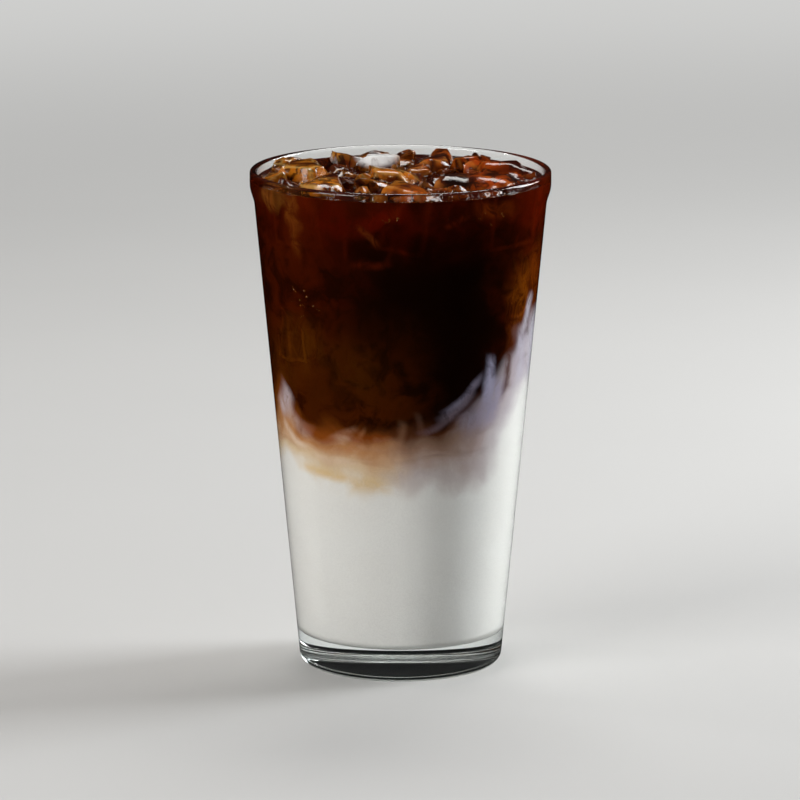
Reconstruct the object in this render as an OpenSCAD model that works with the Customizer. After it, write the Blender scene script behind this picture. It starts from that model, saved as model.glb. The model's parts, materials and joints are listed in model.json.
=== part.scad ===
// Iced latte in a straight-sided pint glass: a tapered glass with a thick base, a layer
// of milk, a blended layer, a layer of coffee and the ice that stands out of its top.
// Millimetres. Z is up, the glass stands on z = 0 and -Y is the front.

/* [Glass] */
// Height from the table to the lip
glass_height = 149; // [110:0.5:190]
// Outside diameter at the rim
rim_diameter = 89; // [70:0.5:110]
// Outside diameter of the cone where it meets the table
base_diameter = 60; // [45:0.5:80]
// Wall thickness at the lip
lip_thickness = 2; // [1.4:0.1:3]
// Wall thickness just above the floor
wall_thickness = 3; // [2:0.1:4.5]
// Thickness of the solid base under the drink
floor_thickness = 10; // [6:0.5:18]
// Radius of the rounded heel
heel_radius = 3.2; // [1.5:0.1:5]
// Radius between the floor and the wall inside
floor_corner_radius = 2.4; // [1:0.1:4]
// Depth of the hollow under the base
push_up_depth = 1; // [0.4:0.1:2.5]
// Width of the flat ring that the glass rests on
rest_ring_width = 4.5; // [3:0.1:7]
// Height of the thicker band below the lip
band_height = 4; // [3:0.5:12]
// Height over which that band runs out into the cone
band_run_out = 6; // [2:0.5:12]
// How far that band stands proud of the cone
band_proud = 0.4; // [0.1:0.05:0.8]

/* [Drink] */
// Drop from the lip to the top of the drink
fill_drop = 3.6; // [2:0.1:20]
// Share of the drink's depth that is milk
milk_share = 0.38; // [0.2:0.01:0.6]
// Share of the drink's depth that is the blended layer
blend_share = 0.2; // [0.08:0.01:0.3]
// Slope of the milk's top in degrees, rising to the right
milk_slope = 4; // [0:0.5:8]
// Slope of the coffee's underside in degrees, rising to the right
blend_slope = 6; // [0:0.5:10]

/* [Ice] */
// Side of the largest ice cube
ice_size = 17.6; // [10:0.1:24]
// Least gap between an ice cube and the wall or the next cube
ice_clearance = 0.35; // [0.2:0.05:2]
// Depth of the lowest cube's middle below the top of the drink
ice_draft_low = 6; // [6:0.1:14]
// Depth of the highest cube's middle below the top of the drink
ice_draft_high = 3.8; // [3:0.1:12]
// Share by which the smallest cube falls short of the largest
ice_size_spread = 0.08; // [0:0.01:0.2]
// Most that a cube leans to a side in degrees
ice_lean = 10; // [0:1:40]
// Turn of the whole ring of cubes about Z in degrees
ice_ring_turn = 15; // [-25:1:25]

/* [Hidden] */
// Cubes in the ring; one more floats in the middle
ice_ring_count = 7;
rim_radius = rim_diameter / 2;
base_radius = base_diameter / 2;
cone_top_radius = rim_radius - band_proud;
cone_lean = atan((cone_top_radius - base_radius) / glass_height);
lip_radius = lip_thickness / 2;
lip_middle_z = glass_height - lip_radius;
lip_inner_radius = rim_radius - lip_thickness;
rest_ring_inner_radius = base_radius - heel_radius - rest_ring_width;
cavity_foot_radius = cone_radius(floor_thickness) - wall_thickness;
cavity_lean = atan((lip_inner_radius - cavity_foot_radius) / (lip_middle_z - floor_thickness));
drink_top = glass_height - fill_drop;
drink_depth = drink_top - floor_thickness;
milk_top = floor_thickness + milk_share * drink_depth;
blend_top = milk_top + blend_share * drink_depth;
cutter_size = 2 * max(glass_height, rim_diameter);

// Radius of the outer cone at height z
function cone_radius(z) = base_radius + (cone_top_radius - base_radius) * z / glass_height;

// Radius of the cavity at height z
function cavity_radius(z) = cavity_foot_radius + (z - floor_thickness) * tan(cavity_lean);

// The corners of the cubes are melted back until they clear the wall and each other
ring_room = (cavity_radius(drink_top - ice_draft_low) - ice_clearance) * cos(cavity_lean);
ring_half_sine = sin(180 / ice_ring_count);
ice_reach = (ring_room * ring_half_sine - ice_clearance / 2) / (1 + ring_half_sine);
ice_ring_radius = ring_room - ice_reach;

// Uneven but repeatable number from 0 to 1 for a cube and a purpose
function uneven(i, purpose) = abs(sin(i * 137.5 + purpose * 71.3));
function ice_scale(i) = 1 - ice_size_spread * uneven(i, 1);
function ice_draft(i) = ice_draft_high + (ice_draft_low - ice_draft_high) * uneven(i, 2);
function ice_angle(i) = ice_ring_turn + 360 * i / ice_ring_count;
function ice_tilt(i) = ice_lean * (2 * uneven(i, 3) - 1);
function ice_nod(i) = ice_lean * (2 * uneven(i, 4) - 1);
function ice_turn(i) = 90 * uneven(i, 5);

// Which piece to show

// Half section of the space inside the glass, from the floor up to the lip
module cavity_outline() {
    corner_x = cavity_radius(floor_thickness + floor_corner_radius)
        - floor_corner_radius / cos(cavity_lean);
    union() {
        polygon([
            [0, floor_thickness],
            [corner_x, floor_thickness],
            [corner_x + floor_corner_radius * cos(cavity_lean),
                floor_thickness + floor_corner_radius * (1 - sin(cavity_lean))],
            [lip_inner_radius, lip_middle_z],
            [0, lip_middle_z]
        ]);
        translate([corner_x, floor_thickness + floor_corner_radius])
            circle(r = floor_corner_radius);
    }
}

// Half section of the glass as a solid body, without its cavity
module body_outline() {
    heel_x = cone_radius(heel_radius) - heel_radius / cos(cone_lean);
    band_foot_z = glass_height - band_height - band_run_out;
    union() {
        polygon([
            [0, 0],
            [heel_x, 0],
            [heel_x + heel_radius * cos(cone_lean), heel_radius * (1 - sin(cone_lean))],
            [cone_radius(band_foot_z), band_foot_z],
            [rim_radius, band_foot_z + band_run_out],
            [rim_radius, lip_middle_z],
            [0, lip_middle_z]
        ]);
        translate([heel_x, heel_radius]) circle(r = heel_radius);
        translate([rim_radius - lip_radius, lip_middle_z]) circle(r = lip_radius);
    }
}

module glass() {
    color([0.8, 0.9, 0.88, 0.35]) rotate_extrude() difference() {
        body_outline();
        cavity_outline();
        translate([0, lip_middle_z]) square([lip_inner_radius, glass_height]);
        polygon([[0, 0], [rest_ring_inner_radius, 0], [0, push_up_depth]]);
    }
}

// All space below a plane that crosses the axis at height z and rises to the right
module below(z, slope) {
    translate([0, 0, z]) rotate([0, -slope, 0]) translate([0, 0, -cutter_size / 2])
        cube(cutter_size, center = true);
}

// Everything inside the glass up to the top of the drink
module drink_space() {
    intersection() {
        rotate_extrude() cavity_outline();
        below(drink_top, 0);
    }
}

module milk() {
    color([0.86, 0.84, 0.8]) intersection() {
        drink_space();
        below(milk_top, milk_slope);
    }
}

module blend() {
    color([0.66, 0.49, 0.36]) difference() {
        intersection() {
            drink_space();
            below(blend_top, blend_slope);
        }
        below(milk_top, milk_slope);
    }
}

module coffee() {
    color([0.2, 0.06, 0.03]) difference() {
        drink_space();
        below(blend_top, blend_slope);
        for (i = [0:ice_ring_count]) ice_cube(i);
    }
}

// One cube of ice with melted corners; the last number is the one in the middle
module ice_cube(i) {
    distance = i == ice_ring_count ? 0 : ice_ring_radius;
    color([0.85, 0.62, 0.36, 0.8]) rotate([0, 0, ice_angle(i)])
        translate([distance, 0, drink_top - ice_draft(i)])
        rotate([ice_tilt(i), ice_nod(i), ice_turn(i)])
        intersection() {
            cube(ice_size * ice_scale(i), center = true);
            sphere(r = ice_reach * ice_scale(i));
        }
}

module ice_1() {
    ice_cube(0);
}

module ice_2() {
    ice_cube(1);
}

module ice_3() {
    ice_cube(2);
}

module ice_4() {
    ice_cube(3);
}

module ice_5() {
    ice_cube(4);
}

module ice_6() {
    ice_cube(5);
}

module ice_7() {
    ice_cube(6);
}

module ice_8() {
    ice_cube(7);
}

glass();
milk();
blend();
coffee();
ice_1();
ice_2();
ice_3();
ice_4();
ice_5();
ice_6();
ice_7();
ice_8();
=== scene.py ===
import json
import math
import random

import bmesh
import bpy
from mathutils import Euler, Matrix, Vector, noise
from mathutils.bvhtree import BVHTree

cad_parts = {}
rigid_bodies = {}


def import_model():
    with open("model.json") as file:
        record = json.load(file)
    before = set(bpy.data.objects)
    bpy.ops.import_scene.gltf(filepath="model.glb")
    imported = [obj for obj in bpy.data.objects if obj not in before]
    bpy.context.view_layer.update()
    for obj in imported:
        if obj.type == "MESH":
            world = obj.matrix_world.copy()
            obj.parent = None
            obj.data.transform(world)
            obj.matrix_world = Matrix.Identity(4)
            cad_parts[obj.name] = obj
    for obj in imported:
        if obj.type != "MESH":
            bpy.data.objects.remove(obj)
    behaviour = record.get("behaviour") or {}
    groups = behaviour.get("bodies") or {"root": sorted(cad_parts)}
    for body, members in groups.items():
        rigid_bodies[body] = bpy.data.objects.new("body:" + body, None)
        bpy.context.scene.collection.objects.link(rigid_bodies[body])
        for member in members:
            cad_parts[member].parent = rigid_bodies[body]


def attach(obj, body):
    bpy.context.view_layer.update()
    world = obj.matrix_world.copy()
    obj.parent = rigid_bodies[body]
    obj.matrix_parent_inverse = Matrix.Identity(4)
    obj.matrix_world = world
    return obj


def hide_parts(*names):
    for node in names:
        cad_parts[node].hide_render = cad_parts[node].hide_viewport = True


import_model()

bl_info = {
    "name": "Iced latte",
    "version": (1, 0, 0),
    "blender": (4, 5, 0),
    "location": "3D View > Sidebar > Iced latte",
    "description": "Builds an iced latte in a pint glass, with its layers, ice and bubbles",
    "category": "Object",
}

MM = 0.001
RING_CUBES = 7  # cubes in the ring round the middle one
CUBE_SWELL = 1.17  # how much larger a lump of ice is than the plain cube it replaces
ICE_PEAK = 0.0042  # height above the drink past which ice is flattened
ICE_GAP = 0.0003  # least room between floating ice and the glass
ICE_CREASE = 32  # degrees past which an edge of the ice stays sharp
ICE_PIECES = ("ice_cube", "ice_chips")
BACKDROP = (0.62, 0.62, 0.61, 1)
BLACK = (0.0, 0.0, 0.0, 1.0)


# ---------------------------------------------------------------- settings

def length(name, about, value, **more):
    """A setting in metres."""
    return bpy.props.FloatProperty(name=name, description=about, default=value, unit="LENGTH", **more)


def factor(name, about, value):
    """A setting from 0 to 1."""
    return bpy.props.FloatProperty(name=name, description=about, default=value, subtype="FACTOR")


def angle(name, about, degrees):
    """A setting that is given here in degrees."""
    value = math.radians(degrees)
    return bpy.props.FloatProperty(name=name, description=about, default=value, subtype="ANGLE")


def whole(name, about, value, least, most):
    """A setting that is a whole number."""
    return bpy.props.IntProperty(name=name, description=about, default=value, min=least, max=most)


class LatteGlassSettings(bpy.types.PropertyGroup):
    """Sizes of the glass"""
    height: length("Height", "From the table to the lip", 0.149)
    rim_diameter: length("Rim diameter", "Outside diameter at the rim", 0.089)
    base_diameter: length("Base diameter", "Outside diameter where the cone meets the table", 0.060)
    lip: length("Lip thickness", "Wall thickness at the lip", 0.002)
    wall: length("Wall thickness", "Wall thickness above the floor", 0.003)
    floor: length("Floor thickness", "Thickness of the solid base", 0.010)
    heel: length("Heel radius", "Radius of the rounded heel", 0.0032)
    corner: length("Inner corner radius", "Radius between floor and wall inside", 0.0024)
    push_up: length("Push-up", "Depth of the hollow under the base", 0.001)
    ring: length("Rest ring", "Width of the ring the glass rests on", 0.0045)
    band_height: length("Band height", "Height of the thicker band below the lip", 0.004)
    band_run_out: length("Band run-out", "Height over which the band fades into the cone", 0.006)
    band_proud: length("Band proud", "How far the band stands out", 0.0004)
    segments: whole("Segments", "Steps round the glass", 256, 32, 512)


class LatteDrinkSettings(bpy.types.PropertyGroup):
    """Levels of the layers"""
    fill_drop: length("Fill drop", "From the lip down to the top of the drink", 0.0036)
    milk_share: factor("Milk share", "Share of the depth that is milk", 0.38)
    blend_share: factor("Blend share", "Share of the depth that is blended", 0.2)
    milk_slope: angle("Milk slope", "Slope of the top of the milk", 4)
    blend_slope: angle("Blend slope", "Slope of the underside of the coffee", 6)
    into_wall: length("Into the wall", "How far the drink reaches into the glass", 0.00015, precision=5)
    meniscus: length("Meniscus", "Height the drink climbs at the wall", 0.0009, precision=5)


class LatteIceSettings(bpy.types.PropertyGroup):
    """Ice cubes, chips and bubbles"""
    size: length("Cube size", "Side of the largest cube", 0.0176)
    draft_low: length("Low draft", "Depth of the middle of the lowest cube", 0.006)
    draft_high: length("High draft", "Depth of the middle of the highest cube", 0.0038)
    spread: factor("Size spread", "How much smaller the smallest cube is", 0.08)
    lean: angle("Lean", "Most that a cube leans", 10)
    ring_turn: angle("Ring turn", "Turn of the ring of cubes", 15)
    melt: length("Melt", "Depth of the melted hollows", 0.0015, precision=5)
    chips: whole("Chips", "Small broken pieces between the cubes", 40, 0, 80)
    bubbles: whole("Bubbles", "Bubbles on the surface", 520, 0, 3000)
    seed: bpy.props.IntProperty(name="Seed", description="Seed of the scatter", default=7)


SETTINGS = (
    ("latte_glass", LatteGlassSettings),
    ("latte_drink", LatteDrinkSettings),
    ("latte_ice", LatteIceSettings),
)


# ---------------------------------------------------------------- shape helpers

def cone_radius(z):
    """Outside radius of the plain cone at height z."""
    g = bpy.context.scene.latte_glass
    foot, top = g.base_diameter / 2, g.rim_diameter / 2 - g.band_proud
    return foot + (top - foot) * z / g.height


def cavity_lean():
    """Slope of the inner wall, as radius gained for each unit of height."""
    g = bpy.context.scene.latte_glass
    foot = cone_radius(g.floor) - g.wall
    return (g.rim_diameter / 2 - g.lip - foot) / (g.height - g.lip / 2 - g.floor)


def cavity_radius(z):
    """Inside radius of the glass at height z."""
    g = bpy.context.scene.latte_glass
    return cone_radius(g.floor) - g.wall + (z - g.floor) * cavity_lean()


def drink_top():
    """Height of the surface of the drink."""
    return bpy.context.scene.latte_glass.height - bpy.context.scene.latte_drink.fill_drop


def layer_heights():
    """Heights on the axis of the top of the milk and of the blended layer."""
    g, d = bpy.context.scene.latte_glass, bpy.context.scene.latte_drink
    depth = drink_top() - g.floor
    milk = g.floor + d.milk_share * depth
    return milk, milk + d.blend_share * depth


def around(a, r, z):
    """Point at angle a round the axis, counted from the front towards the right."""
    return (r * math.sin(a), -r * math.cos(a), z)


def arc(middle, radius, start, end, steps):
    """Points on an arc, by angles in degrees."""
    out = []
    for i in range(steps + 1):
        a = math.radians(start + (end - start) * i / steps)
        out.append((middle[0] + radius * math.cos(a), middle[1] + radius * math.sin(a)))
    return out


def corner_points(reach, steps=10):
    """The rounded inner corner between floor and wall, from the floor up, pushed out by reach."""
    g = bpy.context.scene.latte_glass
    lean = math.atan(cavity_lean())
    middle = (cavity_radius(g.floor + g.corner) - g.corner / math.cos(lean), g.floor + g.corner)
    return arc(middle, g.corner + reach, -90, -math.degrees(lean), steps)


def new_object(name, bm, crease=60):
    """An object from a bmesh: faces look outward, and edges sharper than crease degrees stay sharp."""
    bmesh.ops.recalc_face_normals(bm, faces=bm.faces)
    for face in bm.faces:
        face.smooth = True
    for edge in bm.edges:
        edge.smooth = edge.calc_face_angle(0.0) < math.radians(crease)
    mesh = bpy.data.meshes.new(name)
    bm.to_mesh(mesh)
    bm.free()
    ob = bpy.data.objects.new(name, mesh)
    bpy.context.scene.collection.objects.link(ob)
    return ob


def skin(bm, rings):
    """Closes a stack of rings, each a list of vertices or one pole vertex, with faces."""
    for low, high in zip(rings, rings[1:]):
        n = max(len(low), len(high))
        for i in range(n):
            j = (i + 1) % n
            if len(low) == 1:
                bm.faces.new((low[0], high[i], high[j]))
            elif len(high) == 1:
                bm.faces.new((low[i], low[j], high[0]))
            else:
                bm.faces.new((low[i], low[j], high[j], high[i]))


def ring_of(bm, radius, height, segments):
    """One ring of vertices; radius and height may be functions of the angle."""
    out = []
    for i in range(segments):
        a = 2 * math.pi * i / segments
        z = height(a) if callable(height) else height
        r = radius(z) if callable(radius) else radius
        out.append(bm.verts.new(around(a, r, z)))
    return out


def lathe(name, profile, segments):
    """A closed body turned from a half section that starts and ends on the axis."""
    bm = bmesh.new()
    rings = []
    for r, z in profile:
        rings.append([bm.verts.new((0, 0, z))] if r < 1e-7 else ring_of(bm, r, z, segments))
    skin(bm, rings)
    return new_object(name, bm)


def uneven(i, purpose):
    """Repeatable number from 0 to 1 for a cube and a purpose."""
    return abs(math.sin(math.radians(i * 137.5 + purpose * 71.3)))


def trees_of(prefixes):
    """Search trees of the pieces whose names start with one of the prefixes."""
    trees = []
    for ob in bpy.context.scene.objects:
        if ob.name.startswith(prefixes):
            bm = bmesh.new()
            bm.from_mesh(ob.data)
            trees.append(BVHTree.FromBMesh(bm))
            bm.free()
    return trees


def chunk(bm, size, place, seed, melt, facets, cuts=9, clearance=ICE_GAP):
    """One melted piece of ice: a rounded block with broken facets and shallow hollows."""
    squareness, facet_reach, facet_edge = 9.0, (0.72, 1.0), 0.09
    above_peak, least_radius = 0.3, 0.001
    rng = random.Random(seed)
    block = bmesh.new()
    bmesh.ops.create_cube(block, size=2.0)
    bmesh.ops.subdivide_edges(block, edges=block.edges[:], cuts=cuts, use_grid_fill=True)
    planes = []
    for _ in range(facets):
        n = Vector((rng.uniform(-1, 1), rng.uniform(-1, 1), rng.uniform(-0.4, 1))).normalized()
        planes.append((n, rng.uniform(*facet_reach)))
    shift = Vector((rng.uniform(0, 50), rng.uniform(0, 50), rng.uniform(0, 50)))
    half = size / 2
    edge = block.verts.layers.float.new("edge")
    peak = drink_top() + ICE_PEAK
    for v in block.verts:
        v[edge] = sorted(abs(c) for c in v.co)[1] ** 6
        p = v.co.copy()
        p = p / sum(abs(c) ** squareness for c in p) ** (1 / squareness)
        for n, reach in planes:
            over = p.dot(n) - reach
            if over > 0:
                p -= n * over
            v[edge] = max(v[edge], 1.0 - abs(over) / facet_edge)
        out = p.normalized()
        dent = noise.noise(p * 1.3 + shift) * melt + noise.noise(p * 3.4 + shift) * melt * 0.35
        spot = place @ (p * half + out * dent)
        spot.z = min(spot.z, peak + (spot.z - peak) * above_peak)
        inside = min(1.0, (cavity_radius(spot.z) - clearance) / max(spot.xy.length, least_radius))
        v.co = (spot.x * inside, spot.y * inside, spot.z)
    mesh = bpy.data.meshes.new("block")
    block.to_mesh(mesh)
    block.free()
    bm.from_mesh(mesh)
    bpy.data.meshes.remove(mesh)


# ---------------------------------------------------------------- node helpers

def srgb(r, g, b, a=1.0):
    """A colour given in 0 to 255 display values, as the linear colour nodes use."""
    out = []
    for c in (r, g, b):
        c = max(c, 0) / 255
        out.append(c / 12.92 if c <= 0.04045 else ((c + 0.055) / 1.055) ** 2.4)
    return (*out, a)


class Pen:
    """Writes nodes into one tree; any input may be a socket or a plain value."""

    def __init__(self, tree):
        self.tree = tree

    def put(self, kind, inputs=None, out=0, **settings):
        node = self.tree.nodes.new(kind)
        for key, value in settings.items():
            setattr(node, key, value)
        for key, value in (inputs or {}).items():
            if isinstance(value, bpy.types.NodeSocket):
                self.tree.links.new(value, node.inputs[key])
            else:
                node.inputs[key].default_value = value
        return node.outputs[out]

    def math(self, operation, a, b=0.0, c=0.0, clamp=False):
        return self.put("ShaderNodeMath", {0: a, 1: b, 2: c}, operation=operation, use_clamp=clamp)

    def times(self, a, b):
        return self.math("MULTIPLY", a, b)

    def vector(self, operation, a, b=(0, 0, 0)):
        return self.put("ShaderNodeVectorMath", {0: a, 1: b}, operation=operation)

    def scaled(self, a, factor):
        return self.put("ShaderNodeVectorMath", {0: a, "Scale": factor}, operation="SCALE")

    def mix(self, factor, a, b, blend="MIX"):
        return self.put("ShaderNodeMix", {0: factor, 6: a, 7: b}, out=2, data_type="RGBA", blend_type=blend)

    def noise(self, vector, scale, detail=2.0, rough=0.5, distortion=0.0, out=0, **more):
        inputs = {"Vector": vector, "Scale": scale, "Detail": detail, "Roughness": rough}
        return self.put("ShaderNodeTexNoise", {**inputs, "Distortion": distortion}, out=out, **more)

    def local(self, p, centre, reach, turn=(0, 0, 0)):
        """Position in a turned box round a centre, where the box reaches from -1 to 1."""
        inputs = {"Vector": p, "Location": centre, "Rotation": turn, "Scale": reach}
        return self.put("ShaderNodeMapping", inputs, vector_type="TEXTURE")

    def step(self, value, low, high, to_low=0.0, to_high=1.0, kind="SMOOTHSTEP"):
        inputs = {"Value": value, "From Min": low, "From Max": high, "To Min": to_low, "To Max": to_high}
        return self.put("ShaderNodeMapRange", inputs, interpolation_type=kind, clamp=True)

    def ball(self, p, centre, reach):
        """Value that falls from 1 at the centre to 0 at the reach along each axis."""
        return self.fall(self.local(p, centre, reach))

    def fall(self, local):
        return self.put("ShaderNodeTexGradient", {"Vector": local}, out=1, gradient_type="SPHERICAL")

    def split(self, value):
        """The three parts of a vector."""
        return self.put("ShaderNodeSeparateXYZ", {0: value}).node.outputs

    def join(self, value, node, key):
        self.tree.links.new(value, node.inputs[key])

    def spot(self, p, azimuth, height, across, up, roll=0.0, hard=0.0, deep=None):
        """Soft oval mask on the wall of the drink; azimuth and roll in degrees, sizes in mm."""
        least_deep, least_soft = 6.0, 0.02
        a = math.radians(azimuth)
        place = around(a, cavity_radius(height * MM) / MM, height)
        size = (across, deep or max(min(across, up), least_deep), up)
        fall = self.fall(self.local(p, place, size, (0, math.radians(roll), a)))
        return self.step(fall, 0.0, max(1.0 - hard, least_soft))

    def stroke(self, p, azimuth, height, long, wide, roll, bend=0.0):
        """Soft bowed stroke on the wall, leaning right by roll degrees; half sizes in mm."""
        deep = 9.0
        a = math.radians(azimuth)
        place = around(a, cavity_radius(height * MM) / MM, height)
        split = self.split(self.local(p, place, (wide, deep, long), (0, math.radians(roll), a)))
        along = self.times(split[2], split[2])
        side = self.math("ABSOLUTE", self.math("MULTIPLY_ADD", along, bend, split[0]))
        body = self.times(self.step(side, 1.0, 0.0), self.step(along, 1.0, 0.1))
        return self.times(body, self.step(self.math("ABSOLUTE", split[1]), 1.0, 0.7))


def new_group(name, inputs, outputs):
    """An empty shader node group with the given sockets and its two ends."""
    tree = bpy.data.node_groups.new(name, "ShaderNodeTree")
    for label, kind in inputs:
        tree.interface.new_socket(name=label, in_out="INPUT", socket_type=kind)
    for label, kind in outputs:
        tree.interface.new_socket(name=label, in_out="OUTPUT", socket_type=kind)
    return tree, tree.nodes.new("NodeGroupInput"), tree.nodes.new("NodeGroupOutput")


# Painted glow in the coffee, light that shows through it and the ice: azimuth, height, half width and
# height, roll, hardness, colour, share
GLOWS = (
    (-50, 101, 9, 7, 20, 0.1, (84, 42, 5), 0.85), (-66, 93, 8, 7, -10, 0.1, (78, 38, 4), 0.8),
    (-22, 96, 9, 8, 15, 0.1, (66, 32, 3), 0.7), (-36, 88, 12, 5, 5, 0.0, (58, 24, 3), 0.6),
    (62, 113, 6.5, 11, -6, 0.1, (118, 58, 8), 0.95), (76, 117, 6, 12, 0, 0.1, (104, 44, 5), 0.9),
    (56, 101, 3, 8, 8, 0.0, (84, 36, 5), 0.7), (-47, 139, 2.2, 9, 2, 0.2, (120, 62, 18), 0.9),
    (-58, 144, 7, 3.0, -8, 0.2, (128, 74, 26), 0.9), (-4, 139.5, 8.5, 4.5, 0, 0.35, (86, 15, 2), 0.8),
    (-28, 139.5, 8, 5.0, 5, 0.2, (72, 10, 1), 0.7), (40, 143, 6, 2.6, 10, 0.2, (104, 40, 6), 0.8),
    (68, 141, 10, 7, 5, 0.1, (92, 18, 2), 0.8), (120, 128, 12, 10, 10, 0.1, (80, 22, 3), 0.7),
    (205, 118, 12, 14, -20, 0.1, (64, 20, 3), 0.7), (160, 100, 14, 8, 12, 0.1, (72, 32, 4), 0.8),
    (230, 104, 10, 9, 0, 0.1, (84, 40, 6), 0.8), (186, 138, 10, 6, 0, 0.2, (84, 16, 2), 0.7),
)

# Light on the edges of cubes under the surface:
# azimuth, height, half length and width, roll, bend, colour, share
EDGE_LIGHTS = (
    (-11, 136.2, 5.2, 1.0, -48, 0.4, (104, 48, 16), 0.8),
    (-11, 127.4, 7.5, 1.2, 88, 0.6, (82, 26, 8), 0.7), (-22, 133, 5.0, 0.9, 8, -0.3, (74, 20, 4), 0.6),
    (-3, 131, 4.0, 0.8, 14, 0.3, (60, 18, 4), 0.6), (24, 140, 5.0, 1.2, 60, 0.5, (96, 34, 8), 0.6),
    (170, 132, 7.0, 1.4, 80, 0.6, (84, 28, 8), 0.6), (215, 136, 6.0, 1.2, -20, 0.5, (84, 30, 8), 0.6),
)

# Wisps between coffee and milk, in the same order
WISPS = (
    (82, 98, 13, 8, 0, 0.0, (200, 196, 206), 0.9), (66, 96, 11, 3.4, -6, 0.3, (186, 180, 192), 0.85),
    (70, 108, 7, 2.2, 16, 0.2, (190, 186, 196), 0.8), (55, 93, 11, 1.7, 6, 0.4, (70, 30, 10), 0.85),
    (60, 104, 8, 1.8, 10, 0.3, (84, 38, 12), 0.7), (44, 91, 9, 1.9, 2, 0.4, (168, 164, 188), 0.9),
    (47, 84, 9, 3.6, 8, 0.3, (158, 152, 174), 0.8), (39, 80, 9, 4.6, 62, 0.2, (148, 140, 158), 0.65),
    (31, 87, 10, 1.3, 50, 0.9, (140, 132, 152), 0.75), (28, 83.5, 9, 1.5, 56, 0.8, (128, 114, 126), 0.7),
    (34, 84.5, 8, 0.9, 50, 0.7, (54, 24, 10), 0.6), (18, 79, 8, 1.2, 66, 0.6, (116, 96, 104), 0.55),
    (-66, 82, 6, 4.0, 40, 0.3, (198, 184, 188), 0.85),
    (-56, 77, 8, 2.4, -58, -0.6, (200, 180, 172), 0.5),
    (-30, 76, 7, 1.4, 60, -0.5, (196, 154, 130), 0.25), (-22, 74, 7, 1.0, 40, 0.5, (188, 130, 90), 0.4),
    (-42, 75, 9, 2.0, -66, 0.6, (138, 70, 22), 0.7), (-16, 75.5, 8, 1.6, 84, -0.4, (126, 58, 16), 0.6),
    (-60, 72, 8, 1.4, -62, -0.8, (222, 204, 186), 0.6),
    (-34, 67, 9, 1.4, -84, -0.5, (222, 202, 180), 0.5),
    (-40, 63, 12, 1.8, -86, 0.4, (216, 182, 122), 0.7),
    (-17, 61, 8, 2.4, 82, -0.4, (212, 180, 124), 0.6), (0, 76, 6, 1.4, 8, 0.5, (150, 110, 84), 0.35),
    (9, 79, 6, 1.1, -14, 0.6, (112, 80, 66), 0.35), (150, 88, 8, 5.0, 30, 0.4, (176, 160, 158), 0.55),
    (164, 83, 9, 3.0, -46, -0.5, (196, 170, 150), 0.5), (228, 97, 9, 5.0, 14, 0.4, (184, 172, 172), 0.6),
    (214, 91, 9, 2.6, 34, -0.5, (176, 156, 150), 0.55),
    (238, 90, 8, 3.0, -30, 0.5, (172, 152, 144), 0.5), (200, 80, 9, 2.2, 60, 0.6, (150, 108, 84), 0.5),
    (182, 72, 12, 2.4, -82, 0.4, (214, 184, 140), 0.6), (256, 80, 8, 2.6, -30, 0.5, (130, 80, 46), 0.5),
    (116, 86, 9, 3.0, 10, -0.5, (110, 66, 40), 0.5), (104, 94, 10, 3.6, -12, 0.4, (186, 176, 186), 0.6),
)


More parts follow.
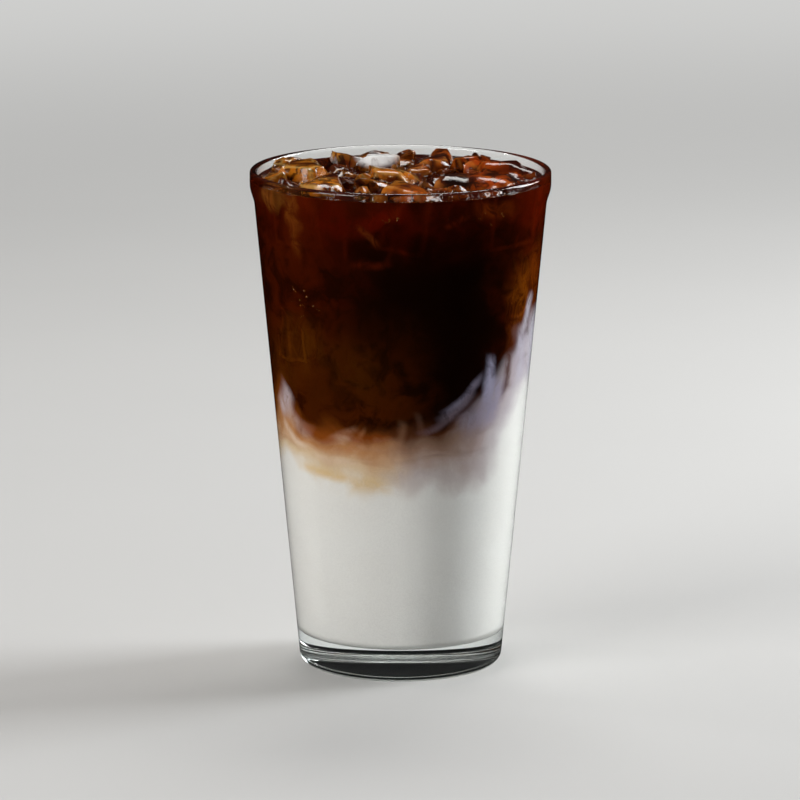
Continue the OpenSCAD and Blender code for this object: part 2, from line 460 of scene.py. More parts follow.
def latte_colours():
    """Node group: the colour of the drink anywhere in the glass, from milk up to coffee, with painted glow
    and edge highlights in the coffee.
    """
    name = "latte_colours"
    if name in bpy.data.node_groups:
        return bpy.data.node_groups[name]
    outputs = [("Colour", "NodeSocketColor"), ("Milkiness", "NodeSocketFloat")]
    tree, start, end = new_group(name, [("Position", "NodeSocketVector")], outputs)
    n = Pen(tree)

    def paint(under, mask, share, colour):
        """Lays a colour over another, as far as the mask and the share say."""
        return n.mix(n.times(mask, share), under, srgb(*colour))

    def strokes(under, where, strength, table):
        """Lays a table of soft strokes over a colour."""
        for azimuth, height, long, wide, roll, bend, colour, share in table:
            mask = n.times(n.stroke(fine, azimuth, height, long, wide * 1.5, roll, bend), where)
            under = paint(under, mask, share * strength, colour)
        return under

    p = n.scaled(start.outputs[0], 1000.0)

    # slow and quick drift of the liquid, in mm
    slow = n.vector("SUBTRACT", n.noise(p, 0.045, 2.0, 0.5, out=1), (0.5, 0.5, 0.5))
    quick = n.vector("SUBTRACT", n.noise(p, 0.16, 3.0, 0.55, out=1), (0.5, 0.5, 0.5))
    w = n.vector("ADD", p, n.scaled(slow, 9.0))
    curl = n.vector("SUBTRACT", n.noise(w, 0.1, 1.0, 0.5, out=1), (0.5, 0.5, 0.5))
    w = n.vector("ADD", w, n.scaled(curl, 9.0))
    curl = n.vector("SUBTRACT", n.noise(w, 0.24, 2.0, 0.5, out=1), (0.5, 0.5, 0.5))
    w = n.vector("ADD", w, n.scaled(curl, 3.5))
    fine = n.vector("ADD", p, n.vector("ADD", n.scaled(slow, 7.0), n.scaled(quick, 1.3)))
    up = n.split(w)[2]
    across = n.split(p)[0]

    # coffee: near black inside, with painted light that turns it red-brown where it thins, to the sides and
    # to the top
    cloud = n.noise(w, 0.055, 4.0, 0.6)
    smoke = n.noise(w, 0.13, 5.0, 0.62)
    # painted glow at the sides, where light shows through the thin coffee
    edge = n.math("MULTIPLY_ADD", n.math("SUBTRACT", cloud, 0.5), 26.0, across)
    side_glow = n.math("MAXIMUM", n.step(edge, -4.0, -32.0), n.step(edge, 24.0, 38.0))
    side_glow = n.times(side_glow, n.step(smoke, 0.34, 0.64, 0.25, 1.0))
    coffee = n.mix(side_glow, srgb(16, 4, 1), srgb(62, 17, 2))
    # painted light: red-brown towards the top, where light comes down through the ice
    top = n.step(up, 122.0, 146.0)
    coffee = n.mix(n.times(top, n.step(cloud, 0.35, 0.65, 0.15, 0.75)), coffee, srgb(72, 15, 2))
    low = n.times(n.step(up, 120.0, 84.0), n.step(edge, 18.0, -10.0))
    coffee = n.mix(n.times(low, n.step(smoke, 0.36, 0.6, 0.2, 1.0)), coffee, srgb(66, 27, 3))

    wisp = n.noise(n.vector("MULTIPLY", w, (1.0, 1.0, 0.6)), 0.3, 5.0, 0.68, 0.5)
    patchy = n.step(wisp, 0.34, 0.62, 0.15, 1.0)
    # painted glow: lighter patches where light shows through the coffee
    for azimuth, height, wide, tall, roll, hard, colour, share in GLOWS:
        mask = n.times(n.spot(w, azimuth, height, wide * 1.6, tall * 1.6, roll, hard), patchy)
        coffee = paint(coffee, mask, share, colour)

    # cubes that hang under the surface close to the wall: dark faces, with a painted highlight along their
    # edges
    inward = n.vector("MULTIPLY", n.vector("ADD", p, n.scaled(quick, 1.2)), (0.87, 0.87, 1.0))
    for place, size in cube_places()[:RING_CUBES]:
        half = size / MM / 2
        local = n.local(inward, place.translation / MM, (half, half, half), place.to_euler())
        local = n.split(n.vector("ABSOLUTE", local))
        far = n.math("MAXIMUM", n.math("MAXIMUM", local[0], local[1]), local[2])
        face = n.times(n.step(far, 1.0, 0.7), n.times(patchy, 0.6))
        coffee = n.mix(face, coffee, srgb(10, 2, 0))
        # painted highlight: a lighter band along the edges of each cube
        rim = n.times(n.step(far, 0.86, 0.97), n.step(far, 1.1, 1.0))
        coffee = paint(coffee, rim, n.times(patchy, 0.3), (84, 26, 4))

    # the nearest cube's dark facets, with the light that catches its edges
    for azimuth, height, wide, tall, roll in (
        (-13.5, 131.5, 5.0, 3.2, 12), (-4.5, 137, 5.4, 4.0, -20), (9, 133, 4.0, 5.0, 10),
    ):
        mask = n.spot(w, azimuth, height, wide * 1.4, tall * 1.4, roll, 0.3)
        coffee = paint(coffee, mask, 0.6, (11, 2, 0))
    coffee = strokes(coffee, patchy, 0.8, EDGE_LIGHTS)

    # height at which coffee gives way to milk, uneven round the glass
    level = n.math("MULTIPLY_ADD", n.noise(p, 0.03, 1.0, 0.5), 14.0, 68.5)
    for azimuth, wide, tall, lift in (
        (80, 23, 60, 30), (-72, 12, 60, 7), (24, 14, 60, 2), (44, 12, 60, 4), (-20, 9, 60, -1),
        (150, 22, 60, 9), (228, 20, 60, 14), (190, 10, 60, -4),
    ):
        mask = n.spot(p, azimuth, 85, wide * 1.3, tall, 0, 0.1, deep=22)
        level = n.math("MULTIPLY_ADD", mask, lift, level)
    violet = n.spot(p, 68, 85, 31, 60, 0, 0.1, deep=26)
    over = n.math("SUBTRACT", up, level)
    over = n.math("DIVIDE", over, n.math("MULTIPLY_ADD", violet, 0.4, 1.0))

    # turbid zone between, warm on the left and cool on the right, from the coffee down to the milk
    drift = n.times(n.math("SUBTRACT", cloud, 0.5), 30.0)
    cool = n.step(n.math("ADD", across, drift), -12.0, 6.0)
    colour = coffee
    for start_at, end_at, warm_tone, cool_tone in (
        (6.0, -1.5, (124, 64, 20), (80, 44, 24)),
        (0.5, -5.2, (182, 130, 84), (140, 110, 92)),
        (-4.2, -8.8, (203, 168, 134), (170, 146, 134)),
        (-7.8, -12.4, (214, 192, 160), (192, 180, 176)),
    ):
        tone = n.mix(cool, srgb(*warm_tone), srgb(*cool_tone))
        tone = n.mix(n.times(violet, 0.75), tone, srgb(186, 178, 186))
        colour = n.mix(n.step(over, start_at, end_at), colour, tone)
    milk = n.mix(n.noise(p, 0.09, 2.0), srgb(226, 224, 220), srgb(231, 230, 227))
    colour = n.mix(n.step(over, -11.0, -18.5), colour, milk)

    # soft strands that the pour left behind, steep on the right and lazy on the left
    near = n.times(n.step(over, 0.0, -5.0), n.step(over, -15.0, -7.0))
    for tilt, side_mask in ((-52, cool), (24, n.math("SUBTRACT", 1.0, cool))):
        flow = {"Vector": fine, "Rotation": (0.0, math.radians(tilt), 0.0), "Scale": (0.03, 0.04, 0.11)}
        strand = n.noise(n.put("ShaderNodeMapping", flow), 1.0, 3.0, 0.5, 0.5)
        share = n.times(near, side_mask)
        pale = n.mix(cool, srgb(212, 192, 182), srgb(170, 160, 176))
        colour = n.mix(n.times(share, n.step(strand, 0.5, 0.74, 0.0, 0.55)), colour, pale)
        stain = n.mix(cool, srgb(150, 84, 34), srgb(86, 56, 44))
        colour = n.mix(n.times(share, n.step(strand, 0.48, 0.28, 0.0, 0.5)), colour, stain)
    torn = n.step(wisp, 0.3, 0.56, 0.45, 1.0)
    colour = strokes(colour, torn, 1.0, WISPS)

    # fine grain of the emulsion
    grain = n.step(n.noise(p, 3.0, 2.0, 0.7), 0.3, 0.7, 0.94, 1.05)
    n.join(n.scaled(colour, grain), end, 0)
    n.join(n.step(over, 0.0, -16.0), end, 1)
    return tree


def principled(name, **values):
    """A material with one Principled shader whose plain sockets are set; gives material, pen and shader."""
    mat = bpy.data.materials.new(name)
    mat.use_nodes = True
    tree = mat.node_tree
    shader = tree.nodes["Principled BSDF"]
    for key, value in values.items():
        shader.inputs[key.replace("_", " ")].default_value = value
    return mat, Pen(tree), shader


def object_position(pen):
    """The position in the object's own frame, in metres."""
    return pen.put("ShaderNodeTexCoord", out=3)


def bump(pen, shader, height, strength, distance):
    """Gives a shader small waves."""
    normal = pen.put("ShaderNodeBump", {"Height": height, "Strength": strength, "Distance": distance})
    pen.join(normal, shader, "Normal")


def lamps_pass(mat, tint):
    """Lets lamps through a clear material, so that what it holds is lit."""
    pen = Pen(mat.node_tree)
    shader = mat.node_tree.nodes["Principled BSDF"].outputs[0]
    clear = pen.put("ShaderNodeBsdfTransparent", {"Color": tint})
    shadow = pen.put("ShaderNodeLightPath").node.outputs["Is Shadow Ray"]
    mixed = pen.put("ShaderNodeMixShader", {0: shadow, 1: shader, 2: clear})
    pen.join(mixed, mat.node_tree.nodes["Material Output"], "Surface")


def glass_material():
    """Clear glass with a faint green depth."""
    mat, pen, shader = principled(
        "clear_glass", Transmission_Weight=1.0, IOR=1.48, Roughness=0.0, Base_Color=(0.985, 0.995, 0.99, 1),
    )
    p = object_position(pen)
    bump(pen, shader, pen.noise(p, 45.0, 1.0, 0.4), 0.03, 0.002)
    absorb = pen.put("ShaderNodeVolumeAbsorption", {"Color": (0.72, 0.86, 0.83, 1), "Density": 5.0})
    pen.join(absorb, mat.node_tree.nodes["Material Output"], "Volume")
    lamps_pass(mat, (0.955, 0.955, 0.95, 1))
    return mat


def drink_colours(pen, p):
    """The shared colours of the drink in a material: colour and milkiness."""
    group = pen.put("ShaderNodeGroup", node_tree=latte_colours()).node
    pen.join(p, group, 0)
    return group.outputs[0], group.outputs[1]


def drink_material(name, roughness, coat):
    """Milk, blend or coffee: the shared colours under a wet surface."""
    mat, pen, shader = principled(
        name, IOR=1.34, Specular_IOR_Level=0.25 * coat,
        Coat_Weight=coat, Coat_Roughness=0.03, Coat_IOR=1.34,
    )
    p = object_position(pen)
    colour, milkiness = drink_colours(pen, p)
    pen.join(colour, shader, "Base Color")
    pen.join(pen.step(milkiness, 0.0, 1.0, roughness, roughness + 0.2), shader, "Roughness")
    if coat:
        bump(pen, shader, pen.noise(p, 150.0, 1.0, 0.4), 0.05, 0.0006)
    return mat


def ice_material(name, tone):
    """Ice wetted with coffee: dark at the waterline and amber above (painted shade and light), painted
    golden highlights on the edges, one painted white highlight that glows.
    """
    mat, pen, shader = principled(
        name, IOR=1.31, Transmission_Weight=0.36,
        Coat_Weight=0.4, Coat_Roughness=0.015, Emission_Strength=1.0,
    )
    p = pen.scaled(object_position(pen), 1000.0)
    across, _, up = pen.split(p)
    warm = pen.step(pen.math("ADD", across, pen.times(pen.noise(p, 0.09, 2.0), 50.0)), 0.0, 52.0)
    cloud = pen.noise(p, 0.1, 2.0, 0.5, 0.6)
    smoke = pen.noise(p, 0.26, 2.0, 0.5, 1.2)
    amber = pen.mix(warm, srgb(236, 140, 30), srgb(204, 78, 8))
    dark = pen.mix(warm, srgb(120, 46, 3), srgb(78, 17, 0))
    # painted light and shade: dark near the waterline, lit amber higher up
    lit = pen.times(pen.step(up, 145.0, 148.6, 0.2, 1.0), pen.step(cloud, 0.38, 0.58))
    colour = pen.mix(lit, dark, amber)
    colour = pen.mix(pen.step(smoke, 0.53, 0.37, 0.0, 0.8), colour, srgb(44, 11, 1))
    # painted highlight: golden along the edges, where the ice is lit
    edge = pen.put("ShaderNodeAttribute", out=2, attribute_name="edge")
    pale = pen.mix(warm, srgb(255, 206, 116), srgb(246, 136, 44))
    colour = pen.mix(pen.times(pen.step(edge, 0.3, 1.0, 0.0, 0.6), lit), colour, pale)
    # painted shade: the ice darkened to near black at two gaps between the cubes
    for centre, reach in (
        ((17.5, -15.0, 146.5), (7.5, 10.0, 5.0)), ((27.5, -13.0, 146.5), (5.5, 9.0, 5.0)),
    ):
        gap_shade = pen.ball(p, centre, reach)
        colour = pen.mix(pen.step(gap_shade, 0.0, 0.45, 0.0, 0.9), colour, srgb(18, 4, 0))
    # painted highlight: a white patch that glows a little and is rougher
    glowing_highlight = pen.ball(p, (-7.4, 19.0, 150.4), (8.5, 8.0, 5.0))
    glowing_highlight = pen.times(pen.step(glowing_highlight, 0.0, 0.4), pen.step(smoke, 0.3, 0.5, 0.5, 1.0))
    colour = pen.mix(glowing_highlight, colour, (1.0, 1.0, 0.97, 1.0))
    pen.join(pen.scaled(colour, tone), shader, "Base Color")
    pen.join(pen.mix(glowing_highlight, BLACK, (0.3, 0.3, 0.3, 1.0)), shader, "Emission Color")
    rough = pen.math("MAXIMUM", pen.step(cloud, 0.3, 0.7, 0.02, 0.16), pen.times(glowing_highlight, 0.6))
    pen.join(rough, shader, "Roughness")
    ripple = pen.math("MULTIPLY_ADD", pen.noise(p, 1.5, 2.0, 0.6), 0.22, pen.noise(p, 0.4, 2.0, 0.5))
    bump(pen, shader, ripple, 0.16, 0.001)
    return mat


def sunk_ice_material():
    """Ice under the coffee: the colours of the drink, darker inside each face, with a painted highlight
    along its edges.
    """
    mat, pen, shader = principled("sunk_ice_finish", IOR=1.34, Roughness=0.6, Specular_IOR_Level=0.0)
    colour = drink_colours(pen, object_position(pen))[0]
    edge = pen.put("ShaderNodeAttribute", out=2, attribute_name="edge")
    # painted highlight along the edges, darker inside each face
    shade = pen.step(edge, 0.2, 1.0, 0.82, 1.35)
    pen.join(pen.scaled(colour, shade), shader, "Base Color")
    return mat


def bubble_material():
    """Amber bubbles, pale where the foam gathers."""
    mat, pen, shader = principled(
        "bubble_skin", IOR=1.33, Transmission_Weight=0.55, Roughness=0.05,
        Coat_Weight=1.0, Coat_Roughness=0.02,
    )
    p = pen.scaled(object_position(pen), 1000.0)
    foam = pen.ball(p, (-1.0, -14.0, 146.0), (9.0, 12.0, 8.0))
    wet = pen.mix(pen.noise(p, 0.5, 1.0), srgb(96, 44, 10), srgb(190, 116, 44))
    pen.join(pen.mix(pen.step(foam, 0.0, 0.5), wet, srgb(240, 208, 150)), shader, "Base Color")
    lamps_pass(mat, (0.9, 0.85, 0.75, 1))
    return mat


def floor_material():
    """Pale floor that is dark in mirror images and fades into the backdrop far away."""
    mat, pen, shader = principled("pale_floor", Roughness=0.75, Specular_IOR_Level=0.2)
    p = object_position(pen)
    tint = pen.mix(pen.noise(p, 6.0, 2.0), (0.60, 0.595, 0.585, 1), (0.63, 0.625, 0.615, 1))
    pen.join(tint, shader, "Base Color")
    rays = pen.put("ShaderNodeLightPath").node.outputs
    mirrored = pen.math("MINIMUM", rays["Glossy Depth"], 1.0)
    dark = pen.put("ShaderNodeBsdfDiffuse", {"Color": BLACK})
    mixed = pen.put("ShaderNodeMixShader", {0: mirrored, 1: shader.outputs[0], 2: dark})
    far = pen.step(pen.put("ShaderNodeVectorMath", {0: p}, out=1, operation="LENGTH"), 0.45, 1.5)
    far = pen.times(far, pen.math("MAXIMUM", rays["Is Camera Ray"], rays["Is Transmission Ray"]))
    backdrop = pen.put("ShaderNodeEmission", {"Color": BACKDROP})
    mixed = pen.put("ShaderNodeMixShader", {0: far, 1: mixed, 2: backdrop})
    pen.join(mixed, mat.node_tree.nodes["Material Output"], "Surface")
    return mat


def finish_piece(ob, material, slot, *nodes):
    """Gives a piece its material and its place in the frame."""
    ob.data.materials.clear()
    ob.data.materials.append(material)
    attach(ob, "root")
    if nodes:
        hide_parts(*nodes)


# ---------------------------------------------------------------- operators

class LATTE_OT_glass(bpy.types.Operator):
    """Turn the clear pint glass"""
    bl_idname = "latte.glass"
    bl_label = "Glass"

    def execute(self, context):
        g = context.scene.latte_glass
        flare = g.rim_diameter / 2 - g.band_proud - g.base_diameter / 2
        lean = math.degrees(math.atan(flare / g.height))
        heel_x = cone_radius(g.heel) - g.heel / math.cos(math.radians(lean))
        rim, lip = g.rim_diameter / 2, g.lip / 2
        ring_x = g.base_diameter / 2 - g.heel - g.ring
        soft_wide, soft_high, below_band = 0.0006, 0.00004, 0.001
        wall_steps, band_steps = 12, 8
        profile = [(0, g.push_up), (ring_x - soft_wide, soft_high)]
        profile += [(ring_x, 0.0), (heel_x, 0.0)]
        profile += arc((heel_x, g.heel), g.heel, -80, -lean, 12)
        band_foot = g.height - g.band_height - g.band_run_out
        for i in range(1, wall_steps):
            z = g.heel + (band_foot - below_band - g.heel) * i / wall_steps
            profile.append((cone_radius(z), z))
        for i in range(band_steps + 1):
            t = i / band_steps
            z = band_foot + g.band_run_out * t
            ease = t * t * (3 - 2 * t)
            profile.append((cone_radius(z) * (1 - ease) + rim * ease, z))
        profile += arc((rim - lip, g.height - lip), lip, 0, 180, 18)
        top = g.height - lip
        foot = corner_points(0.0)[-1][1]
        for i in range(1, wall_steps):
            z = top + (foot - top) * i / wall_steps
            profile.append((cavity_radius(z), z))
        profile += list(reversed(corner_points(0.0)))
        profile += [(0.6 * profile[-1][0], g.floor), (0, g.floor)]
        ob = lathe("glass_body", profile, g.segments)
        finish_piece(ob, glass_material(), "glass", "glass")
        return {"FINISHED"}


def slope_height(middle, slope):
    """Height of a sloping layer at an angle round the wall."""
    def height(a):
        r = cavity_radius(middle)
        return middle + r * math.sin(a) * math.tan(slope)
    return height


def layer(low, high, steps, segments):
    """A slab of the drink, open at the top: heights as functions of the angle, or None for the floor."""
    d = bpy.context.scene.latte_drink

    def reach(z):
        return cavity_radius(z) + d.into_wall
    bm = bmesh.new()
    rings = []
    if low is None:
        corner = corner_points(d.into_wall)
        rings.append([bm.verts.new((0, 0, corner[0][1]))])
        rings.append(ring_of(bm, corner[0][0] * 0.5, corner[0][1], segments))
        for r, z in corner:
            rings.append(ring_of(bm, r, z, segments))
        start = corner[-1][1]
        low = lambda a: start
        first = 1
    else:
        middle = low(0)
        rings.append([bm.verts.new((0, 0, middle))])
        first = 0
    for i in range(first, steps + 1):
        t = i / steps
        rings.append(ring_of(bm, reach, lambda a: low(a) * (1 - t) + high(a) * t, segments))
    return bm, rings


class LATTE_OT_milk_and_blend(bpy.types.Operator):
    """Fill the glass with the milk and the blended layer"""
    bl_idname = "latte.milk_and_blend"
    bl_label = "Milk and blended layer"

    def execute(self, context):
        g, d = context.scene.latte_glass, context.scene.latte_drink
        milk_top, blend_top = layer_heights()
        low, high = slope_height(milk_top, d.milk_slope), slope_height(blend_top, d.blend_slope)
        for name, slot, bottom, top, middle in (
            ("milk_layer", "milk", None, low, milk_top), ("blend_layer", "blend", low, high, blend_top)
        ):
            bm, rings = layer(bottom, top, 10, g.segments)
            rings.append([bm.verts.new((0, 0, middle))])
            skin(bm, rings)
            ob = new_object(name, bm)
            finish_piece(ob, drink_material(name + "_finish", 0.6, 0.0), slot, slot)
        return {"FINISHED"}


def cube_places():
    """Place and size of each cube that stands out of the drink; the last one is in the middle."""
    s = bpy.context.scene.latte_ice
    level, clearance = drink_top(), 0.00035
    room = (cavity_radius(level - s.draft_low) - clearance) * math.cos(math.atan(cavity_lean()))
    half_sine = math.sin(math.pi / RING_CUBES)
    reach = (room * half_sine - clearance / 2) / (1 + half_sine)
    out = []
    for i in range(RING_CUBES + 1):
        radius = 0 if i == RING_CUBES else room - reach
        drop = s.draft_high + (s.draft_low - s.draft_high) * uneven(i, 2)
        turn = Matrix.Rotation(s.ring_turn + 2 * math.pi * i / RING_CUBES, 4, "Z")
        tilt, nod = s.lean * (2 * uneven(i, 3) - 1), s.lean * (2 * uneven(i, 4) - 1)
        lean = Euler((tilt, nod, math.radians(90 * uneven(i, 5))))
        place = turn @ Matrix.Translation((radius, 0, level - drop)) @ lean.to_matrix().to_4x4()
        out.append((place, s.size * (1 - s.spread * uneven(i, 1))))
    return out


class LATTE_OT_ice(bpy.types.Operator):
    """Shape the cubes of ice that stand out of the coffee"""
    bl_idname = "latte.ice"
    bl_label = "Ice cubes"

    def execute(self, context):
        s = context.scene.latte_ice
        finish = ice_material("wet_ice", 1.0)
        for number, (place, size) in enumerate(cube_places(), 1):
            bm = bmesh.new()
            chunk(bm, size * CUBE_SWELL, place, s.seed * 31 + number, s.melt, 6)
            ob = new_object("ice_cube_%d" % number, bm, ICE_CREASE)
            finish_piece(ob, finish, "ice", "ice_%d" % number)
        return {"FINISHED"}


class LATTE_OT_chips(bpy.types.Operator):
    """Scatter small broken ice between the cubes"""
    bl_idname = "latte.chips"
    bl_label = "Ice chips"

    def execute(self, context):
        s = context.scene.latte_ice
        rng = random.Random(s.seed)
        level, wall = drink_top(), cavity_radius(drink_top())
        cubes = [place.translation.copy() for place, size in cube_places()]
        bm = bmesh.new()
        # the chip that shows the painted, glowing white highlight of the ice
        highlight_chip, highlight_chip_size = Vector((-0.0078, 0.0195, level + 0.0008)), 0.0105
        shape = Matrix.Diagonal((1.25, 0.9, 0.85, 1)) @ Matrix.Rotation(0.5, 4, "Z")
        chunk(bm, highlight_chip_size, Matrix.Translation(highlight_chip) @ shape, s.seed + 4, s.melt, 6, cuts=8)
        placed = [(highlight_chip, highlight_chip_size)]
        most_tries, least_size, most_size = 4000, 0.0075, 0.0135
        from_wall, from_cube, cube_room, from_chip = 0.6, 0.22, 0.0080, 0.42
        tries = 0
        while len(placed) < s.chips and tries < most_tries:
            tries += 1
            a, r = rng.uniform(0, 2 * math.pi), wall * math.sqrt(rng.uniform(0, 0.86))
            size = rng.uniform(least_size, most_size)
            spot = Vector((r * math.cos(a), r * math.sin(a), level - size * rng.uniform(-0.04, 0.24)))
            if r + size * from_wall > wall:
                continue
            if any((spot.xy - c.xy).length < cube_room + size * from_cube for c in cubes):
                continue
            if any((spot.xy - q.xy).length < (size + t) * from_chip for q, t in placed):
                continue
            placed.append((spot, size))
            turn = Euler((rng.uniform(-0.5, 0.5), rng.uniform(-0.5, 0.5), rng.uniform(0, 6.28)))
            squash = (rng.uniform(0.8, 1.25), rng.uniform(0.7, 1.1), rng.uniform(0.6, 0.9), 1)
            place = Matrix.Translation(spot) @ turn.to_matrix().to_4x4() @ Matrix.Diagonal(squash)
            chunk(bm, size, place, s.seed * 97 + len(placed), s.melt * 0.5, 7, cuts=7)
        ob = new_object("ice_chips", bm, ICE_CREASE)
        finish_piece(ob, ice_material("wet_chips", 0.7), "ice")
        return {"FINISHED"}


class LATTE_OT_sunk_ice(bpy.types.Operator):
    """Sink more cubes in the coffee, the outer ones flush with the wall"""
    bl_idname = "latte.sunk_ice"
    bl_label = "Sunk ice"

    def execute(self, context):
        s, d = context.scene.latte_ice, context.scene.latte_drink
        rng = random.Random(s.seed + 11)
        past_coffee, most_turn = 0.0001, 0.5
        bm = bmesh.new()
        for number, (azimuth, height, inward) in enumerate((
            (66, 113.0, 0.0052), (-57, 103.5, 0.0056), (5, 112.0, 0.0115), (122, 114.0, 0.0054),
            (172, 108.0, 0.0050), (231, 112.0, 0.0054), (266, 117.0, 0.0140), (90, 108.0, 0.0330),
        )):
            a = math.radians(azimuth)
            spot = around(a, cavity_radius(height * MM) - inward, height * MM)
            turn = Euler([rng.uniform(-most_turn, most_turn) for _ in range(3)]).to_matrix().to_4x4()
            place = Matrix.Translation(spot) @ Matrix.Rotation(a, 4, "Z") @ turn
            size = s.size * rng.uniform(0.85, 0.98)
            chunk(bm, size, place, s.seed * 53 + number, s.melt, 5, clearance=-d.into_wall - past_coffee)
        ob = new_object("sunk_ice", bm, ICE_CREASE)
        finish_piece(ob, sunk_ice_material(), "ice")
        return {"FINISHED"}


class LATTE_OT_coffee(bpy.types.Operator):
    """Fill the glass with coffee up to its wet, uneven surface"""
    bl_idname = "latte.coffee"
    bl_label = "Coffee"

    def execute(self, context):
        g, d = context.scene.latte_glass, context.scene.latte_drink
        blend_top = layer_heights()[1]
        level = drink_top()
        trees = trees_of(ICE_PIECES)
        edge = level + d.meniscus
        wall = cavity_radius(level) + d.into_wall
        climb_width, search = 0.0012, 0.004
        steepness, deepest = 1.6, 0.0035  # how the surface dips under the ice
        cling_height, cling_width = 0.0006, 0.0007  # how it climbs at the ice

        def surface(x, y):
            """Height of the surface at a place."""
            r = math.hypot(x, y)
            z = level + d.meniscus * math.exp(-(wall - r) / climb_width)
            wide = noise.noise(Vector((x * 90, y * 90, 3.1))) * 0.00018
            z += wide + noise.noise(Vector((x * 260, y * 260, 7.7))) * 0.00006
            probe = Vector((x, y, level))
            rise = 0.0
            for tree in trees:
                spot, normal, _, far = tree.find_nearest(probe, search)
                if spot is None:
                    continue
                if (probe - spot).dot(normal) < 0:
                    dip = -min(far * steepness, deepest)
                    rise = min(rise, dip) if rise <= 0 else dip
                elif rise >= 0:
                    rise = max(rise, cling_height * math.exp(-far / cling_width))
            return z + rise

        bm, rings = layer(slope_height(blend_top, d.blend_slope), lambda a: edge, 16, g.segments)
        steps, dense_steps, first_step = 78, 10, 0.35
        for i in range(1, steps):
            r = wall - (wall * i / steps) * (first_step + (1 - first_step) * min(1.0, i / dense_steps))
            ring = []
            for k in range(g.segments):
                x, y, _ = around(2 * math.pi * k / g.segments, r, level)
                ring.append(bm.verts.new((x, y, surface(x, y))))
            rings.append(ring)
        rings.append([bm.verts.new((0, 0, surface(0, 0)))])
        skin(bm, rings)
        ob = new_object("coffee_layer", bm)
        finish_piece(ob, drink_material("coffee_finish", 0.6, 0.0), "coffee", "coffee")
        ob.data.materials.append(drink_material("coffee_surface", 0.06, 0.3))
        least_flat, deepest_top = 0.2, 0.006
        for face in ob.data.polygons:
            if face.normal.z > least_flat and face.center.z > level - deepest_top:
                face.material_index = 1
        return {"FINISHED"}


def bubble_nodes(name):
    """Geometry Nodes tree: a round bubble of uneven size on each point, made real."""
    tree = bpy.data.node_groups.new(name, "GeometryNodeTree")
    tree.is_modifier = True
    tree.interface.new_socket(name="Geometry", in_out="INPUT", socket_type="NodeSocketGeometry")
    for label, kind, value in (
        ("Least Size", "NodeSocketFloat", 0.0002), ("Most Size", "NodeSocketFloat", 0.0006),
        ("Seed", "NodeSocketInt", 3), ("Material", "NodeSocketMaterial", None),
    ):
        s = tree.interface.new_socket(name=label, in_out="INPUT", socket_type=kind)
        if value is not None:
            s.default_value = value
    tree.interface.new_socket(name="Geometry", in_out="OUTPUT", socket_type="NodeSocketGeometry")
    start, end = tree.nodes.new("NodeGroupInput").outputs, tree.nodes.new("NodeGroupOutput")

    def put(kind, out=0, **inputs):
        """A node with its inputs set or linked; gives one of its outputs."""
        node = tree.nodes.new(kind)
        for key, value in inputs.items():
            socket = node.inputs[int(key[1:]) if key[1:].isdigit() else key.replace("_", " ")]
            if isinstance(value, bpy.types.NodeSocket):
                tree.links.new(value, socket)
            else:
                socket.default_value = value
        return node.outputs[out]

    ball = put("GeometryNodeMeshIcoSphere", Radius=1.0, Subdivisions=2)
    size = put("FunctionNodeRandomValue", 1, Seed=start["Seed"])
    size.node.data_type = "FLOAT"
    size = put("ShaderNodeMath", i0=size, i1=2.2)
    size.node.operation = "POWER"
    size = put("ShaderNodeMapRange", Value=size, To_Min=start["Least Size"], To_Max=start["Most Size"])
    real = put("GeometryNodeInstanceOnPoints", Points=start["Geometry"], Instance=ball, Scale=size)
    real = put("GeometryNodeRealizeInstances", Geometry=real)
    real = put("GeometryNodeSetShadeSmooth", Geometry=real)
    real = put("GeometryNodeSetMaterial", Geometry=real, Material=start["Material"])
    tree.links.new(real, end.inputs["Geometry"])
    return tree


def scatter(name, points, least, most, seed, material, slot):
    """A joined mesh of bubbles on the given points."""
    mesh = bpy.data.meshes.new(name + "_points")
    mesh.from_pydata([tuple(p) for p in points], [], [])
    ob = bpy.data.objects.new(name + "_points", mesh)
    bpy.context.scene.collection.objects.link(ob)
    tree = bpy.data.node_groups.get("latte_bubbles") or bubble_nodes("latte_bubbles")
    mod = ob.modifiers.new("Bubbles", "NODES")
    mod.node_group = tree
    ids = {s.name: s.identifier for s in tree.interface.items_tree if s.in_out == "INPUT"}
    for label, value in zip(("Least Size", "Most Size", "Seed", "Material"), (least, most, seed, material)):
        mod[ids[label]] = value
    graph = bpy.context.evaluated_depsgraph_get()
    real = bpy.data.meshes.new_from_object(ob.evaluated_get(graph))
    real.name = name
    bpy.data.objects.remove(ob)
    piece = bpy.data.objects.new(name, real)
    bpy.context.scene.collection.objects.link(piece)
    finish_piece(piece, material, slot)


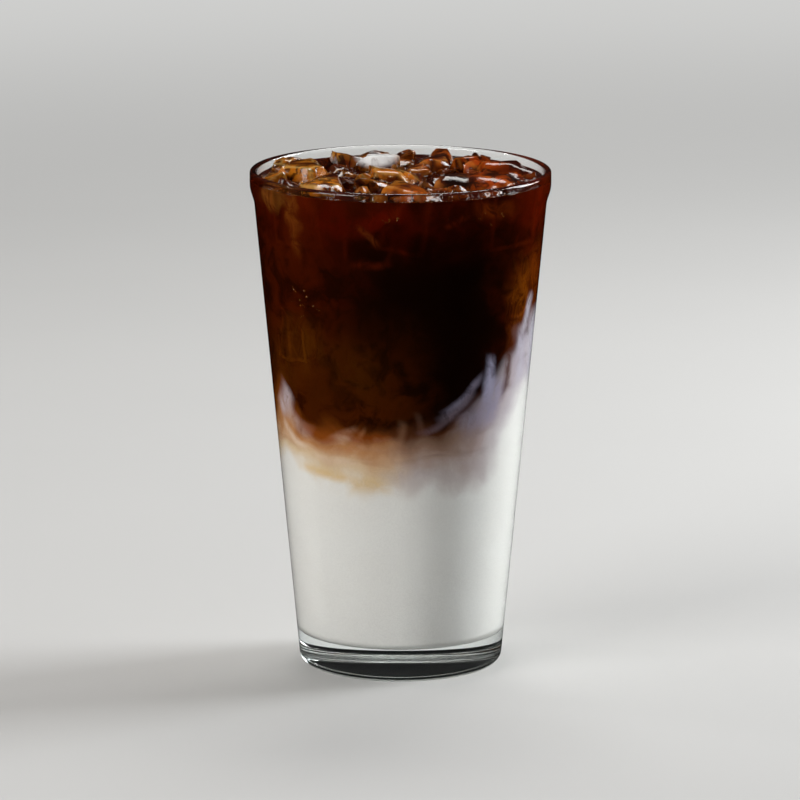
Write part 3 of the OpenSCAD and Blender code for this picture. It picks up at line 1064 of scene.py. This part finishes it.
class LATTE_OT_bubbles(bpy.types.Operator):
    """Strew bubbles over the coffee and against the wall"""
    bl_idname = "latte.bubbles"
    bl_label = "Bubbles"

    def execute(self, context):
        s = context.scene.latte_ice
        rng = random.Random(s.seed + 5)
        trees = trees_of(ICE_PIECES + ("coffee_layer",))

        def drop(x, y):
            """Where a bubble comes down on the ice or the coffee."""
            best, above = None, 0.17
            for tree in trees:
                hit = tree.ray_cast(Vector((x, y, above)), Vector((0, 0, -1)))[0]
                if hit is not None and (best is None or hit.z > best.z):
                    best = hit
            return best

        level = drink_top()
        wall = cavity_radius(level)
        foam_share, front_share = 0.36, 0.3
        from_wall, highest, below_top = 0.0004, 0.0032, 0.0008
        points = []
        for _ in range(s.bubbles):
            pick = rng.random()
            if pick < foam_share:
                x, y = rng.gauss(-0.001, 0.0032), rng.gauss(-0.008, 0.0075)
            elif pick < foam_share + front_share:
                a = rng.gauss(0, 0.85)
                x, y, _ = around(a, wall - abs(rng.gauss(0.0008, 0.0014)), level)
            else:
                a = rng.uniform(0, 2 * math.pi)
                x, y, _ = around(a, wall * math.sqrt(rng.uniform(0, 0.97)), level)
            if math.hypot(x, y) > wall - from_wall:
                continue
            hit = drop(x, y)
            if hit is not None and hit.z < level + highest:
                points.append(hit)
        finish = bubble_material()
        scatter("surface_bubbles", points, 0.0001, 0.00038, s.seed, finish, "ice")
        points = []
        for azimuth, height, wide, tall, count in (
            (-46, 115.0, 4.0, 2.4, 16), (-2, 141.4, 3.0, 0.6, 9), (34, 140.0, 8.0, 1.6, 8),
            (140, 136.0, 14.0, 4.0, 10), (215, 132.0, 14.0, 5.0, 10),
        ):
            for _ in range(count):
                a, z = math.radians(rng.gauss(azimuth, wide)), rng.gauss(height, tall) * MM
                z = min(z, level - below_top)
                points.append(around(a, cavity_radius(z), z))
        scatter("wall_bubbles", points, 0.0002, 0.00038, s.seed + 1, finish, "coffee")
        return {"FINISHED"}


class LATTE_OT_stage(bpy.types.Operator):
    """Set the floor, the soft lights and the camera"""
    bl_idname = "latte.stage"
    bl_label = "Floor, lights and camera"

    def execute(self, context):
        scene = context.scene
        bm = bmesh.new()
        bmesh.ops.create_grid(bm, x_segments=8, y_segments=8, size=6.0)
        ground = new_object("floor", bm)
        ground.data.materials.append(floor_material())

        def softbox(name, place, aim, wide, tall, power, colour):
            """A lamp that shines from a rectangle."""
            data = bpy.data.lights.new(name, "AREA")
            data.shape = "RECTANGLE"
            data.size, data.size_y = wide, tall
            data.energy = power
            data.color = colour
            ob = bpy.data.objects.new(name, data)
            ob.location = place
            ob.rotation_euler = (Vector(aim) - Vector(place)).to_track_quat("-Z", "Y").to_euler()
            scene.collection.objects.link(ob)

        softbox("left_softbox", (-0.92, -0.72, 0.6), (0, 0, 0.08), 0.7, 0.7, 9.3, (1.0, 0.99, 0.975))
        softbox("right_softbox", (0.96, 0.36, 0.5), (0, 0, 0.08), 0.4, 0.8, 13.0, (0.95, 0.98, 1.0))
        softbox("top_softbox", (0.1, 0.6, 1.1), (0, 0, 0.1), 0.6, 0.4, 5.0, (1.0, 0.99, 0.97))
        softbox("left_glint", (-0.75, 0.28, 0.72), (0, 0, 0.1), 0.08, 0.08, 0.7, (1.0, 0.97, 0.95))
        softbox("right_glint", (0.72, 0.6, 0.42), (0, 0, 0.1), 0.08, 0.08, 0.6, (1.0, 0.98, 0.96))
        world = bpy.data.worlds.new("studio")
        world.use_nodes = True
        pen = Pen(world.node_tree)
        back = world.node_tree.nodes["Background"]
        look = pen.put("ShaderNodeTexCoord", out=0)
        rise = pen.split(look)[2]
        dome = pen.mix(pen.step(rise, 0.1, 0.8), (0.02, 0.02, 0.02, 1), (0.2, 0.197, 0.192, 1))
        rays = pen.put("ShaderNodeLightPath").node.outputs
        dome = pen.mix(pen.times(rays["Is Glossy Ray"], 0.7), dome, BLACK)
        pen.join(pen.mix(rays["Is Camera Ray"], dome, BACKDROP), back, "Color")
        back.inputs["Strength"].default_value = 1.0
        scene.world = world

        data = bpy.data.cameras.new("camera")
        data.sensor_width = 36.0
        data.lens = 247.4
        data.clip_start, data.clip_end = 0.05, 30.0
        cam = bpy.data.objects.new("camera", data)
        cam.location = (-0.00015, -1.6, 0.4205)
        cam.rotation_euler = (math.radians(90 - 12.04), 0, 0)
        scene.collection.objects.link(cam)
        scene.camera = cam
        scene.view_settings.view_transform = "Standard"
        scene.view_settings.look = "None"
        scene.cycles.max_bounces = 14
        scene.cycles.transmission_bounces = 12
        scene.cycles.transparent_max_bounces = 12
        return {"FINISHED"}


class LATTE_PT_panel(bpy.types.Panel):
    """Sizes and build buttons of the iced latte"""
    bl_idname = "LATTE_PT_panel"
    bl_label = "Iced latte"
    bl_space_type = "VIEW_3D"
    bl_region_type = "UI"
    bl_category = "Iced latte"

    def draw(self, context):
        for name, settings in SETTINGS:
            box = self.layout.box()
            group = getattr(context.scene, name)
            for key in settings.__annotations__:
                box.prop(group, key)
        for step in OPERATORS:
            self.layout.operator(step.bl_idname)


OPERATORS = (
    LATTE_OT_glass, LATTE_OT_milk_and_blend, LATTE_OT_ice, LATTE_OT_chips, LATTE_OT_sunk_ice,
    LATTE_OT_coffee, LATTE_OT_bubbles, LATTE_OT_stage,
)


def register():
    for name, settings in SETTINGS:
        bpy.utils.register_class(settings)
        setattr(bpy.types.Scene, name, bpy.props.PointerProperty(type=settings))
    for step in OPERATORS + (LATTE_PT_panel,):
        bpy.utils.register_class(step)


def unregister():
    for step in reversed(OPERATORS + (LATTE_PT_panel,)):
        bpy.utils.unregister_class(step)
    for name, settings in reversed(SETTINGS):
        delattr(bpy.types.Scene, name)
        bpy.utils.unregister_class(settings)


def main():
    register()
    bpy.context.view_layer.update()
    bpy.ops.latte.glass()
    bpy.ops.latte.milk_and_blend()
    bpy.ops.latte.ice()
    bpy.ops.latte.chips()
    bpy.ops.latte.sunk_ice()
    bpy.ops.latte.coffee()
    bpy.ops.latte.bubbles()
    bpy.ops.latte.stage()


if __name__ == "__main__":
    main()
